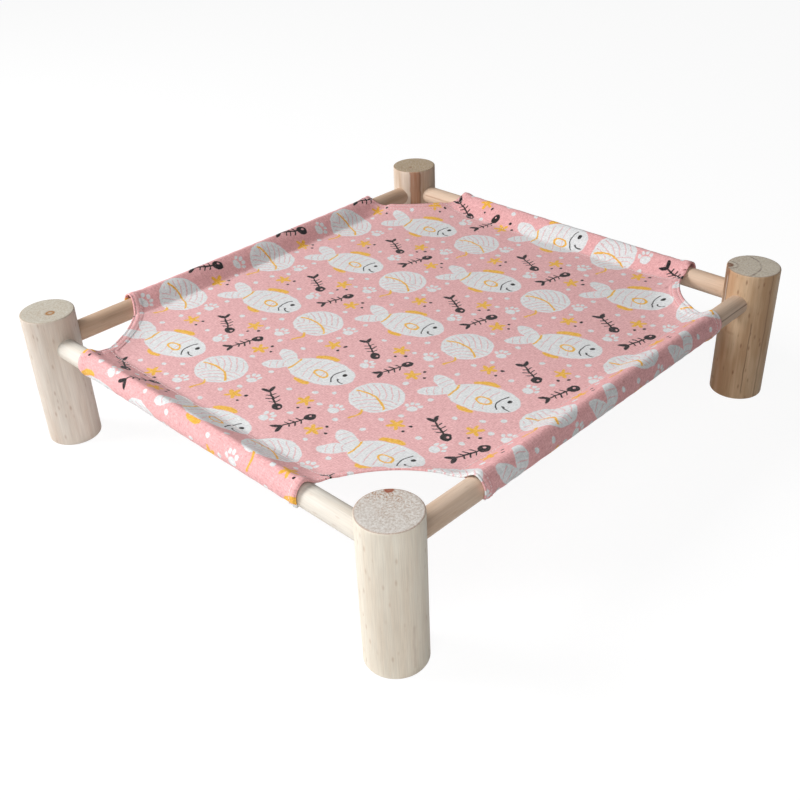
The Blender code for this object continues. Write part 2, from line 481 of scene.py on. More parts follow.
# Distance inside a corner's cut edge: with f = (a / reachX)^n + (b / reachY)^n, it is (f - 1)
# over the length of f's gradient, and plain distance along the rail where a or b is past its top
def insideCorner(u, v, corner):
    reachX, reachY, full = cover["cornerCuts"][corner]
    sideX, sideY = cornerSides(corner)
    a = bed["halfX"] - sideX * u
    b = bed["halfY"] - sideY * v
    a, b = a - underCut(-b), b - underCut(-a)
    a = np.maximum(a, 0) / reachX
    b = np.maximum(b, 0) / reachY
    f = a ** full + b ** full
    steep = np.hypot(a ** (full - 1) / reachX, b ** (full - 1) / reachY) * full
    return (f - 1) / np.maximum(steep, 1e-3)


# Where the cut edge is at a given distance from the rail along Y, and the other way round
def cutAt(a, reachX, reachY, full):
    return reachY * np.maximum(1 - np.clip(a / reachX, 0, 1) ** full, 0) ** (1 / full)


# Soft folds left from packing and slack near the seams: where each starts and ends, and its
# height and width in millimetres. Across, it is a bell curve, and it fades at its ends.
creases = [
    ((-0.052, -0.205), (-0.045, 0.205), -0.45, 5),
    ((0.088, -0.200), (0.096, 0.190), -0.30, 5),
    ((-0.180, 0.020), (0.185, 0.012), 0.25, 6),
    ((-0.105, 0.222), (-0.140, 0.165), -0.55, 4),
    ((-0.062, 0.224), (-0.100, 0.160), -0.50, 4),
    ((-0.015, 0.224), (-0.050, 0.165), -0.50, 4),
    ((0.030, 0.224), (-0.005, 0.170), -0.40, 4),
    ((0.150, 0.200), (0.178, 0.160), -0.60, 6),
    ((0.120, -0.225), (0.075, -0.170), -0.55, 5),
    ((0.190, -0.150), (0.150, -0.100), 0.50, 5),
    ((-0.150, -0.215), (-0.110, -0.160), -0.45, 5),
]
creaseFade = (-12 * mm, 20 * mm)
creaseFromRail = (14 * mm, 28 * mm)


def creaseHeight(x, y):
    total = np.zeros_like(x)
    for start, end, height, width in creases:
        runX, runY = end[0] - start[0], end[1] - start[1]
        length = math.hypot(runX, runY)
        alongIt = ((x - start[0]) * runX + (y - start[1]) * runY) / length
        acrossIt = ((y - start[1]) * runX - (x - start[0]) * runY) / length
        ends = smoothStep(alongIt, *creaseFade) * smoothStep(length - alongIt, *creaseFade)
        total += height * mm * np.exp(-(acrossIt / (width * mm)) ** 2) * ends
    return total


# Height of the panel over its level: sag to the middle, a lift along each cut corner as
# exp(-distance / reach) with its edge rolled down, the creases, and small puckers by the seams
def panelHeight(u, v, x, y):
    slackX = np.maximum(1 - (x / (bed["halfX"] - cover["seam"])) ** 2, 0)
    slackY = np.maximum(1 - (y / (bed["halfY"] - cover["seam"])) ** 2, 0)
    height = -cover["sag"] * slackX * slackY
    fromRail = np.minimum(bed["halfX"] - np.abs(u), bed["halfY"] - np.abs(v))
    free = smoothStep(fromRail, *cover["liftFromRail"])
    for corner, lift in cover["cornerLifts"].items():
        inside = np.maximum(insideCorner(u, v, corner), 0)
        rolled = cover["hemRoll"] * np.maximum(1 - inside / cover["hem"], 0) ** 2
        height = height + (lift * np.exp(-inside / cover["liftReach"]) - rolled) * free
    height = height + creaseHeight(x, y) * smoothStep(fromRail, *creaseFromRail)
    for half, along, across in ((bed["halfX"], y, u), (bed["halfY"], x, v)):
        nearSeam = np.exp(-np.abs(half - np.abs(across) - cover["seam"]) / cover["puckerReach"])
        wave = wandering(along, *cover["puckerWave"]) + 0.6 * np.sin(along * 233 + 2.0)
        height = height + cover["pucker"] * nearSeam * wave * (np.abs(across) <= half)
    return height


# Distance inside the nearest cut edge, and how far a place is on a hem
def hemShare(u, v):
    inside = np.min([insideCorner(u, v, corner) for corner in corners], axis=0)
    return inside, 1 - smoothStep(inside - cover["hem"], *cover["hemFade"])


# Where the cloth lies double or on wood: up each slope from its valley, and along the hems. The cloth's
# colour is made deeper there as painted shade, standing in for the light from below that single cloth would
# let through.
def doubledShadeShare(u, v):
    shares = [hemShare(u, v)[1]]
    for along, axis in ((u, "x"), (v, "y")):
        half, lowSide, highSide = spans[axis]
        valley = np.where(along < 0, cover["valleys"][lowSide][0], cover["valleys"][highSide][0])
        shares.append(smoothStep(valley - half + np.abs(along), -1 * mm, 2 * mm))
    return np.max(shares, axis=0)


def plainCloth(u, v):
    x, riseX, _ = section(u, "x")
    y, riseY, _ = section(v, "y")
    z = bed["railHeight"] - cover["drop"] + riseX + riseY + panelHeight(u, v, x, y)
    return np.stack([x, y, z], axis=-1)


# Outward normal of the cloth: the cross product of its two slopes, each taken over a small step
def clothNormal(u, v):
    step = 0.2 * mm
    alongU = plainCloth(u + step, v) - plainCloth(u - step, v)
    alongV = plainCloth(u, v + step) - plainCloth(u, v - step)
    return unit(np.cross(alongU, alongV))


# The cloth's middle surface, raised by what is folded under it, with a groove at the stitches.
# On the sleeves it is also drawn round the rail with shallow rings of slack.
def clothPoint(u, v, lift=0.0):
    inside, onHem = hemShare(u, v)
    groove = sum(np.exp(-((inside - row) / cover["grooveWidth"]) ** 2) for row in cover["hemRows"])
    raised = cover["hemBump"] * onHem - cover["hemGroove"] * groove
    reach = cover["overRail"]
    byEnd = np.exp(-np.maximum(inside, 0) / cover["flareReach"])
    deep = cover["slack"] * (1 + cover["gathers"] * byEnd)
    for across, along, axis in ((u, v, "x"), (v, u, "y")):
        onSleeve = smoothStep(np.abs(across) - spans[axis][0], -reach, 0)
        raised = raised + deep * wandering(along, *cover["slackWaves"][axis]) * onSleeve
    past = np.maximum(np.abs(u) - bed["halfX"], np.abs(v) - bed["halfY"])
    overRail = smoothStep(past, -reach, 0) * (1 - smoothStep(past, reach, wrapArc * 0.6))
    raised = raised + cover["flare"] * byEnd * overRail
    return plainCloth(u, v) + clothNormal(u, v) * (raised + lift)[..., None]


def clothFlat(u, v):
    return np.stack([section(u, "x")[2], section(v, "y")[2]], axis=-1)


# Positions from the first stop to the last, with a given number of steps between stops
def spaced(*stops):
    pairs = zip(stops, stops[1:])
    parts = [np.linspace(low, high, steps, endpoint=False) for (low, steps), (high, _) in pairs]
    return np.concatenate(parts + [[stops[-1][0]]])


# The grid of the cloth. Rows and columns are close together at the seams and round the rails.
# The columns beside a corner start at its cut edge, and their rows are drawn in to the edge.
def clothGrid():
    halfX, halfY, seam = bed["halfX"], bed["halfY"], cover["seam"]
    wrap = spaced((0, 12), (9 * mm, 17), (wrapArc, 9), (wrapArc + slopeLength, 3), (wrapLength, 0))[1:]
    rowHalf = spaced((0, 58), (halfY - seam - 8 * mm, 9), (halfY - seam + 2 * mm, 7),
                     (halfY - tangentIn, 5), (halfY, 0))
    rows = np.concatenate([-rowHalf[:0:-1], rowHalf])
    allRows = np.concatenate([-(halfY + wrap[::-1]), rows, halfY + wrap])
    # inward from the rail along Y the columns go by squares as far as fine, and evenly from there
    fine = 30 * mm
    squares = np.linspace(0, 1, 23)[1:, None] ** 2
    rest = spaced((fine, 3), (seam + 4 * mm, 6), (seam - 2 * mm, 6), (tangentIn, 5), (0, 0))[1:]
    even = np.concatenate([rest, -wrap])[:, None]

    def outerColumns(reach):
        return np.vstack([reach - (reach - fine) * squares, even + np.zeros_like(reach)])

    halves = []
    for side, name in ((-1, "_left"), (1, "_right")):
        cuts = [cover["cornerCuts"][end + name] for end in ("front", "back")]
        front, back = [cut[0] for cut in cuts]
        reachRows, reachAll = [front + (back - front) * smoothStep(places, -0.10, 0.10)
                               for places in (rows, allRows)]
        # inner columns stop where the corner's cut reaches the rail along X
        reachAll = reachAll + underCut(np.abs(allRows) - halfY)
        innerU = side * np.linspace(0, 1, 42)[1:, None] * (halfX - reachAll)
        innerV = np.broadcast_to(allRows, innerU.shape)
        edges = []
        for cut in cuts:
            columns = outerColumns(np.array([cut[0]]))
            edges.append(cutAt(columns, *cut) + underCut(-columns))
        outerU = side * (halfX - outerColumns(reachRows))
        outerV = rows * (1 - np.where(rows < 0, *edges) / halfY)
        empty = np.full((len(outerU), len(wrap)), np.nan)
        halves.append([np.vstack([inner, np.hstack([empty, outer, empty])])
                       for inner, outer in ((innerU, outerU), (innerV, outerV))])
    (leftU, leftV), (rightU, rightV) = halves
    middle = allRows[None, :]
    return np.vstack([leftU[::-1], np.zeros_like(middle), rightU]), np.vstack([leftV[::-1], middle, rightV])


def thicken(thing, thickness):
    solid = thing.modifiers.new("thickness", "SOLIDIFY")
    solid.thickness = thickness
    solid.offset = 0
    return solid


def addCover():
    u, v = clothGrid()
    there = ~np.isnan(u)
    faces = gridFaces(there)
    u, v = u[there], v[there]
    thing = meshFromArrays("printed_cover", clothPoint(u, v), faces, clothFlat(u, v), doubledShadeShare(u, v))
    solid = thicken(thing, cover["thickness"])
    solid.use_quality_normals = True
    solid.material_offset = 1
    return thing


# Path round a corner's cut edge, from under one sleeve, up over it, along the curve and
# down round the other, with the direction that leads inwards on the cloth
def cornerPath(corner, stepLength):
    reachX, reachY, full = cover["cornerCuts"][corner]
    sideX, sideY = cornerSides(corner)
    turn = np.linspace(0, math.pi / 2, 400)
    # superellipse by its angle: a = reachX cos^(2/n), b = reachY sin^(2/n)
    a = reachX * np.cos(turn) ** (2 / full)
    b = reachY * np.sin(turn) ** (2 / full)
    tail = np.linspace(wrapLength - 1 * mm, 0, 40)[:-1]
    a = np.concatenate([reachX + underCut(tail), a, -tail[::-1]])
    b = np.concatenate([-tail, b, reachY + underCut(tail[::-1])])
    u = sideX * (bed["halfX"] - a)
    v = sideY * (bed["halfY"] - b)
    length = runLength(np.stack([u, v], axis=-1))
    marks = np.linspace(0, length[-1], max(int(length[-1] / stepLength), 2) + 1)
    u, v = np.interp(marks, length, u), np.interp(marks, length, v)
    inU, inV = unit(np.stack([-np.gradient(v), np.gradient(u)], axis=-1)).T
    # the middle of the bed is inwards
    middle = len(inU) // 2
    flip = np.sign(inU[middle] * -sideX + inV[middle] * -sideY)
    return u, v, inU * flip, inV * flip


# Hem: the cut edge turned under and sewn. Its profile comes over the edge and runs back
# beneath the cloth, as pairs of distance inwards and height over the cloth's middle.
hem = {
    "step": 2.2 * mm,
    "gap": 0.12 * mm,
    "turnMiddle": 0.30 * mm,
    "turnReach": 0.55 * mm,
    "flat": (1.2 * mm, cover["hem"] - 0.4 * mm),
    "thickness": cover["thickness"] * 0.85,
}


def addHem(corner):
    u, v, inU, inV = [values[:, None] for values in cornerPath(corner, hem["step"])]
    below = -cover["thickness"] - hem["gap"]
    bend = np.linspace(-0.5, 0.5, 6) * math.pi
    turned = hem["turnMiddle"] - np.cos(bend) * hem["turnReach"]
    inwards = np.concatenate([turned, np.linspace(*hem["flat"], 5)])
    up = np.concatenate([below / 2 * (1 + np.sin(bend)), np.full(5, below)])
    points = clothPoint(u + inU * inwards, v + inV * inwards, up)
    # past the edge the cloth's own coordinates run on, so the print meets itself
    flat = clothFlat(u - inU * inwards, v - inV * inwards)
    shape = flat.shape[:2]
    faces = gridFaces(np.ones(shape, dtype=bool))
    if np.prod(cornerSides(corner)) > 0:
        faces = faces[:, ::-1]
    thing = meshFromArrays("hem_" + corner, points, faces, flat, np.ones(shape))
    thicken(thing, hem["thickness"])
    return thing


# Stitches: short threads laid along a line on the cloth, each a spindle of rings whose
# radius goes as sqrt(1 - (distance from its middle)^4)
stitch = {
    "length": 2.6 * mm,
    "pitch": 3.3 * mm,
    "radius": 0.30 * mm,
    "sides": 6,
    "rings": 5,
    "onCloth": 0.06 * mm,
    "pastSeam": 1.2 * mm,
    "fromCut": 2 * mm,
}


def spindles(lines):
    ring = np.linspace(0, 1, stitch["rings"])[:, None]
    radius = stitch["radius"] * np.sqrt(np.maximum(1 - (2 * ring - 1) ** 4, 0.05))
    angle = np.arange(stitch["sides"])[:, None] * 2 * math.pi / stitch["sides"]
    points = []
    for u, v, lift in lines:
        length = runLength(clothPoint(u, v))
        count = int(length[-1] / stitch["pitch"])
        middle = (np.arange(count) + 0.5) * length[-1] / count
        places = [middle + shift * stitch["length"] / 2 for shift in (-1, 0, 1)]
        starts, middles, ends = [[np.interp(place, length, values) for values in (u, v)] for place in places]
        first, last = clothPoint(*starts, lift), clothPoint(*ends, lift)
        along = unit(last - first)
        side = unit(np.cross(along, clothNormal(*middles)))
        up = np.cross(side, along)
        circle = side[:, None] * np.cos(angle) + up[:, None] * np.sin(angle)
        centre = first[:, None] + (last - first)[:, None] * ring
        points.append(centre[:, :, None] + circle[:, None] * radius[:, None])
    points = np.concatenate(points)
    number = np.arange(points.size // 3).reshape(points.shape[:3])
    low, high = number[:, :-1], number[:, 1:]
    quads = np.stack([low, np.roll(low, -1, axis=2), np.roll(high, -1, axis=2), high], axis=-1)
    caps = number[:, 0, ::-1].tolist() + number[:, -1].tolist()
    return points, quads.reshape(-1, 4).tolist() + caps


# Distance from the leg's axis to where a seam runs out at the cut corner
def seamEnd(corner, axis):
    reachX, reachY, full = cover["cornerCuts"][corner]
    reaches = (reachY, reachX) if axis == "x" else (reachX, reachY)
    return cutAt(cover["seam"], *reaches, full) + stitch["fromCut"]


def addStitches():
    lines = []
    above = cover["thickness"] / 2 + stitch["onCloth"]
    below = -cover["layerGap"] - above
    seamIn = cover["seam"] + stitch["pastSeam"]
    for corner in corners:
        u, v, inU, inV = cornerPath(corner, 1.5 * mm)
        lines += [(u + inU * inwards, v + inV * inwards, above) for inwards in cover["hemRows"]]
    seams = (("x", "y", -1, "front_left", "front_right"), ("x", "y", 1, "back_left", "back_right"),
             ("y", "x", -1, "front_left", "back_left"), ("y", "x", 1, "front_right", "back_right"))
    for axis, other, side, lowCorner, highCorner in seams:
        half = spans[axis][0]
        along = np.linspace(seamEnd(lowCorner, axis) - half, half - seamEnd(highCorner, axis), 200)
        across = np.full(200, side * (spans[other][0] - seamIn))
        u, v = (along, across) if axis == "x" else (across, along)
        lines += [(u, v, above), (u, v, below)]
    return meshFromArrays("sewing_thread", *spindles(lines))


coverCloth = addCover()
hems = [addHem(corner) for corner in corners]
threads = addStitches()
print("cover sewn:", len(coverCloth.data.polygons), "faces in the cloth,",
      len(threads.data.polygons), "in the thread")


# Logs: turned by angle and height, radius = leg radius less a slow wander and the broken edges.
# The wander is a sum of waves, so many times around and so many radians a metre up.
log = {
    "sides": 128,
    "edge": 1.3 * mm,
    "wander": 0.30 * mm,
    "around": (1, 2, 3, 5, 7),
    "up": (0, 11, 27, 49),
    # how far in from the side the rings of a sawn end lie, and how many rings the side has
    "endRings": (0.995, 0.85, 0.7, 0.5, 0.3, 0.15),
    "sideRings": 34,
    "socketClearance": 0.3 * mm,
    "drillLength": 50 * mm,
    "drillSides": 64,
}
dowel = {"sides": 72, "edge": 1 * mm, "rings": 60}
sharpEdge = math.radians(35)


def logRadius(angle, height, seed):
    draws = np.random.default_rng(seed)
    wander = np.zeros(np.broadcast(angle, height).shape)
    for around in log["around"]:
        for up in log["up"]:
            phase = draws.uniform(0, 2 * math.pi, 2)
            wave = np.sin(around * angle + phase[0]) * np.sin(up * height + phase[1])
            wander += wave / (around * (1 + up / 25))
    return bed["legRadius"] - log["wander"] * (1 + wander / 2.2).clip(0, 2)


# A skin round an axis with flat ends, a row for each angle. Its faces look outwards with order 1
# where the rows go round the way they run on, and with -1 where they go round the other way.
def addTurned(name, points, order):
    rows, count = points.shape[:2]
    faces = gridFaces(np.ones((rows, count), dtype=bool), wrapRows=True)[:, ::order].tolist()
    start = (np.arange(rows) * count)[::-order].tolist()
    end = (np.arange(rows) * count + count - 1)[::order].tolist()
    return meshFromArrays(name, points, faces + [start, end])


def addLog(name, seed):
    centre = boxCentre(name)
    top, edge = bed["legHeight"], log["edge"]
    angle = np.arange(log["sides"])[:, None] * 2 * math.pi / log["sides"]
    # profile from the middle of the foot over its edge, up the side, and the same again at the top
    bend = np.linspace(0, math.pi / 2, 5)
    cap, side = np.array(log["endRings"]), np.zeros(log["sideRings"])
    capIn = np.concatenate([cap, np.zeros(5)])
    edgeIn = edge * np.concatenate([np.ones(len(cap)), 1 - np.sin(bend)])
    footUp = edge * np.concatenate([np.zeros(len(cap)), 1 - np.cos(bend)])
    capIn, edgeIn = [np.concatenate([foot, side, foot[::-1]]) for foot in (capIn, edgeIn)]
    sideUp = np.linspace(edge, top - edge, len(side) + 2)[1:-1]
    height = np.concatenate([footUp, sideUp, top - footUp[::-1]])
    radius = (logRadius(angle, height[None, :], seed) - edgeIn) * (1 - capIn)
    points = np.stack([centre.x + radius * np.cos(angle), centre.y + radius * np.sin(angle),
                       np.broadcast_to(height, radius.shape)], axis=-1)
    thing = addTurned("log_" + name[4:], points, 1)
    drillSockets(thing, name)
    thing.data.set_sharp_from_angle(angle=sharpEdge)
    return thing


# Each socket is drilled from a little past the end of its rail, and a little wider than the rail
def drillSockets(thing, name):
    centre = boxCentre(name)
    clearance = log["socketClearance"]
    for axis, side, sideName in zip("xy", cornerSides(name), name.split("_")[1:]):
        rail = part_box("rail_" + sideName)
        railEnd = getattr(rail[1] if side > 0 else rail[0], axis)
        low, high = sorted((railEnd + side * clearance, railEnd - side * log["drillLength"]))
        drill = addRod("drill", axis, centre, bed["railHeight"], bed["railRadius"] + clearance, low, high,
                       log["drillSides"])
        cut = thing.modifiers.new("socket", "BOOLEAN")
        cut.operation = "DIFFERENCE"
        cut.solver = "EXACT"
        cut.object = drill
        graph = bpy.context.evaluated_depsgraph_get()
        result = bpy.data.meshes.new_from_object(thing.evaluated_get(graph))
        thing.modifiers.clear()
        thing.data = result
        bpy.data.objects.remove(drill, do_unlink=True)


# A rod along X or Y, with its ends closed and their edges broken
def addRod(name, axis, centre, height, radius, low, high, sides, edge=0.0, rings=2):
    angle = np.arange(sides)[:, None] * 2 * math.pi / sides
    along = np.linspace(low + edge, high - edge, rings)
    size = np.full(rings, radius)
    if edge:
        along = np.concatenate([[low], along, [high]])
        size = np.concatenate([[radius - edge], size, [radius - edge]])
    across = np.cos(angle) * size
    up = np.sin(angle) * size + height
    run = np.broadcast_to(along, across.shape)
    place = (run, centre.y + across, up) if axis == "x" else (centre.x - across, run, up)
    return addTurned(name, np.stack(place, axis=-1), -1)


def railAxis(name):
    low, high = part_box(name)
    return "x" if high.x - low.x > high.y - low.y else "y"


def addRail(name):
    axis = railAxis(name)
    centre = boxCentre(name)
    ends = [getattr(corner, axis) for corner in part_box(name)]
    thing = addRod("dowel_" + name[5:], axis, centre, centre.z, bed["railRadius"], *ends, **dowel)
    thing.data.set_sharp_from_angle(angle=sharpEdge)
    return thing


logSeeds = {"leg_front_left": 3, "leg_front_right": 8, "leg_back_right": 5, "leg_back_left": 12}
logs = {name: addLog(name, seed) for name, seed in logSeeds.items()}
rails = {name: addRail(name) for name in ("rail_front", "rail_right", "rail_back", "rail_left")}
print("logs and dowels turned")


# Print on the cloth. Distances are in millimetres, less than nothing inside a shape.
def union(*distances):
    return chain("MINIMUM", distances)


def overlap(*distances):
    return chain("MAXIMUM", distances)


def ellipse(at, x, y, radiusX, radiusY, turn=0.0):
    local = mapping(at, (x, y, 0), math.radians(turn), (radiusX, radiusY, 1), "TEXTURE")
    size = min(radiusX, radiusY)
    return calc("MULTIPLY_ADD", vectorCalc("LENGTH", local), size, -size)


def ellipses(at, *rows):
    return union(*[ellipse(at, *row) for row in rows])


# All of a shape but what lies less than the given distance inside its outline
def inset(distance, depth):
    return calc("ADD", distance, depth)


def strokeOf(distance, width):
    return minus(calc("ABSOLUTE", distance), width / 2)


# Evenly spaced rings: how far the distance from a centre is from the nearest whole pitch
def ringsAbout(at, x, y, pitch, width):
    local = vectorCalc("SUBTRACT", at, (x, y, 0))
    return minus(calc("PINGPONG", vectorCalc("LENGTH", local), pitch / 2), width / 2)


# Everything past a straight line that lies at a given offset, in the direction of turn
def beyondLine(at, turn, offset):
    turn = math.radians(turn)
    return minus(offset, vectorCalc("DOT_PRODUCT", at, (math.cos(turn), math.sin(turn), 0)))


# A motif is a group that takes a place and gives the distance to its shape in each ink
def newMotif(name, *inkNames):
    tree, given, result = newGroup(name, {"v": ["At"]}, {"f": inkNames})
    return tree, given["At"], result


def fishMotif():
    tree, at, result = newMotif("fish", "White", "Line", "Mustard", "Dark")
    body = ellipse(at, 6, 0, 34, 20.5)
    tail = ellipses(at, (-37, 8.5, 15, 7.5, -30), (-37, -8.5, 15, 7.5, 30))
    feed(union(body, tail, ellipse(at, -27, 0, 10, 7)), result["White"])

    scales = overlap(ringsAbout(at, 44, 0, 8.5, 1.0), inset(body, 3.2), beyondLine(at, 180, -14))
    tailLines = overlap(ringsAbout(at, -20, 0, 6.5, 0.9), inset(tail, 1.6))
    feed(union(scales, tailLines), result["Line"])

    fins = overlap(ellipses(at, (-2, 22, 12, 4.6, 10), (0, -22, 9, 3.8, -12)), minus(0.6, body))
    sideFin = strokeOf(ellipse(at, 8, -3, 7.5, 4.6, -18), 1.7)
    collar = overlap(strokeOf(ellipse(at, -62, 0, 40, 40), 2.0), inset(union(body, tail), 0.3))
    feed(union(fins, sideFin, collar), result["Mustard"])

    eye = ellipse(at, 29, 5, 2.3, 2.3)
    gill = strokeOf(ellipse(at, 37, 0, 17, 17), 1.2)
    gill = overlap(gill, inset(body, 4.5), beyondLine(at, 180, -26))
    mouth = strokeOf(ellipse(at, 34, -4, 7, 4.5), 1.2)
    mouth = overlap(mouth, inset(body, 1.0), beyondLine(at, -90, 4))
    feed(union(eye, gill, mouth), result["Dark"])
    return tree


def woolMotif():
    tree, at, result = newMotif("wool_ball", "White", "Line", "Mustard")
    ball = ellipse(at, 0, 0, 25, 24)
    feed(ball, result["White"])
    within = inset(ball, 2.6)
    upper = overlap(ringsAbout(at, -24, -20, 5.6, 1.1), beyondLine(at, 118, -1.5))
    lower = overlap(ringsAbout(at, 22, -30, 5.6, 1.1), beyondLine(at, -62, 2.5))
    feed(overlap(union(upper, lower), within), result["Line"])
    band = overlap(strokeOf(ellipse(at, -6, -34, 34, 34), 2.0), within)
    # the loose end waves away from the ball: the distance to y = 2.6 sin(x / 3.6)
    along, across = partsOf(mapping(at, turn=math.radians(-78), kind="TEXTURE"))[:2]
    wave = times(calc("SINE", times(along, 1 / 3.6)), 2.6)
    thread = strokeOf(times(minus(across, wave), 0.8), 2.0)
    ends = strokeOf(minus(along, 31.0), 18.0)
    feed(union(band, overlap(thread, ends)), result["Mustard"])
    return tree


def boneMotif():
    tree, at, result = newMotif("fish_bone", "Dark")
    along, across = partsOf(at)[:2]
    spine = ellipse(at, 0, 0, 16, 1.0)
    slant = calc("MULTIPLY_ADD", calc("ABSOLUTE", across), 0.45, along)
    ribs = overlap(minus(calc("PINGPONG", slant, 2.8), 0.75), ellipse(at, -1.5, 0, 9.6, 6.0))
    eye = ellipse(at, 15, 1.2, 1.3, 1.3)
    head = overlap(ellipse(at, 13.8, 0, 5.8, 4.8), minus(0, eye))
    tail = ellipses(at, (-15.8, 2.5, 5.2, 2.0, -40), (-15.8, -2.5, 5.2, 2.0, 40))
    feed(union(spine, ribs, head, tail), result["Dark"])
    return tree


def starMotif():
    tree, at, result = newMotif("star", "Mustard", "Dark")
    along, across = partsOf(at)[:2]
    # radius = 5.8 + 2.6 cos(5 times the angle)
    points = calc("COSINE", times(calc("ARCTAN2", across, along), 5))
    radius = calc("MULTIPLY_ADD", points, 2.6, 5.8)
    feed(minus(vectorCalc("LENGTH", at), radius), result["Mustard"])
    feed(ellipses(at, (12, 1, 1.6, 1.6), (9, -8, 1.4, 1.4)), result["Dark"])
    return tree


def pawMotif():
    tree, at, result = newMotif("paw_print", "White")
    toePlaces = ((-6, 2.5, 24), (-2.2, 6, 8), (2.2, 6, -8), (6, 2.5, -24))
    toes = [(x, y, 1.9, 2.5, turn) for x, y, turn in toePlaces]
    feed(ellipses(at, (0, -2.5, 5.2, 4.2), *toes), result["White"])
    return tree


# Round dots in the free places of one repeat
dotPlaces = [(6, 39), (-62, -23), (-37, 39), (8, -38), (42, -16), (-66, 14), (-38, 18),
             (38, 55), (46, -37), (-28, 54), (29, -27), (-27, -29)]


def dotMotif():
    tree, at, result = newMotif("dots", "White")
    feed(ellipses(at, *[(x, y, 2.6, 2.4) for x, y in dotPlaces]), result["White"])
    return tree


# The print repeats in columns, and each column stands half a repeat higher than the last
repeat = {"Width": 140.0, "Height": 118.0}


def placeGroup():
    sockets = {"v": ["At"], "f": ["X", "Y", "Turn", "Width", "Height"]}
    tree, given, result = newGroup("half_drop", sockets, {"v": ["At"]})
    alongX, alongY = partsOf(given["At"])[:2]
    width, height = given["Width"], given["Height"]
    x = minus(alongX, given["X"])
    column = calc("ROUND", calc("DIVIDE", x, width))
    x = minus(x, times(column, width))
    y = minus(minus(alongY, given["Y"]), times(column, 0.5, height))
    row = calc("ROUND", calc("DIVIDE", y, height))
    y = minus(y, times(row, height))
    local = addNode("CombineXYZ", {0: x, 1: y}).outputs[0]
    turn = {"Vector": local, "Angle": calc("RADIANS", given["Turn"])}
    feed(addNode("VectorRotate", turn, rotation_type="Z_AXIS", invert=True).outputs[0], result["At"])
    return tree


inks = {
    "Ground": (0.848, 0.490, 0.492),
    "White": (0.800, 0.810, 0.815),
    "Line": (0.800, 0.520, 0.530),
    "Mustard": (0.890, 0.510, 0.088),
    "Dark": (0.018, 0.017, 0.018),
}
# where each motif stands in the repeat, and how it is turned
placings = {
    "fish": [(0, 0, 12)],
    "wool": [(75, 3, 0)],
    "bone": [(10, 60, -28), (52, 48, 74)],
    "star": [(-22, 42, 20), (33, 76, -30), (72, 50, 60)],
    "paw": [(28, 37, -18), (-30, 70, 25), (62, 84, 12)],
    "dots": [(0, 0, 0)],
}
# hand-drawn wander of the outlines, and the ragged edge that the weave gives the ink: the
# scale of each and how far it moves an edge
unevenEdges = ((0.11, 3.2), (1.3, 1.1))
inkEdge = 0.5


def printGroup():
    place = placeGroup()
    motifs = {"fish": fishMotif(), "wool": woolMotif(), "bone": boneMotif(), "star": starMotif(),
              "paw": pawMotif(), "dots": dotMotif()}
    sockets = {"v": ["Cloth"], "f": ["Thread"]}
    tree, given, result = newGroup("cover_print", sockets, {"c": ["Color"], "f": ["Ink"]})
    inMillimetres = at = vectorCalc("MULTIPLY", given["Cloth"], (1 / mm, 1 / mm, 0))
    for scale, reach in unevenEdges:
        shift = vectorCalc("SUBTRACT", noise(inMillimetres, scale, 1, colour=True), (0.5, 0.5, 0.5))
        at = vectorCalc("MULTIPLY_ADD", shift, (reach, reach, 0), at)

    shapes = {"White": [], "Line": [], "Mustard": [], "Dark": []}
    for name, spots in placings.items():
        for x, y, turn in spots:
            local = useGroup(place, At=at, X=x, Y=y, Turn=turn, **repeat)["At"]
            outputs = useGroup(motifs[name], At=local)
            for ink in shapes:
                if ink in outputs:
                    shapes[ink].append(outputs[ink])
    solid = {ink: union(*distances) for ink, distances in shapes.items()}
    solid["Pale"] = union(solid["White"], solid["Mustard"])
    masks = {ink: calc("MULTIPLY_ADD", distance, -1 / inkEdge, 0.5, clamp=True)
             for ink, distance in solid.items()}

    # the highest threads take less ink
    taken = ramp(given["Thread"], 0.52, 0.66, 1.0, 0.80)
    masks["Line"] = times(masks["Line"], 0.85)
    masks["Mustard"] = times(masks["Mustard"], taken)
    masks["Dark"] = times(masks["Dark"], calc("POWER", taken, 0.5))
    colour = inks["Ground"]
    for ink in shapes:
        colour = mixColour(masks[ink], colour, inks[ink])
    feed(colour, result["Color"])
    feed(calc("MAXIMUM", masks["Pale"], masks["Dark"]), result["Ink"])
    return tree


# Plain weave: warp height |sin u| / 2 + sin u cos v / 2, weft the same the other way round,
# and the cloth is the higher of the two. Slubs make some threads thicker and paler, and specks
# of unspun fibre lie across both.
weaving = {
    "pitch": 0.65 * mm,
    "wander": 1.2 * mm,
    "slubs": (900, 200),
    "specks": 620,
    # tone and its exponent, from the thinnest threads to the thickest
    "tone": (0.86, 1.15),
    "exponent": (1.25, 0.80),
    # where the cloth lies double, less light would come through from below. That light is not modelled, so
    # the colour is made deeper there instead, as painted shade
    "doubledShade": 1.13,
    "reverse": {"amount": 0.45, "colour": (0.80, 0.62, 0.61)},
}


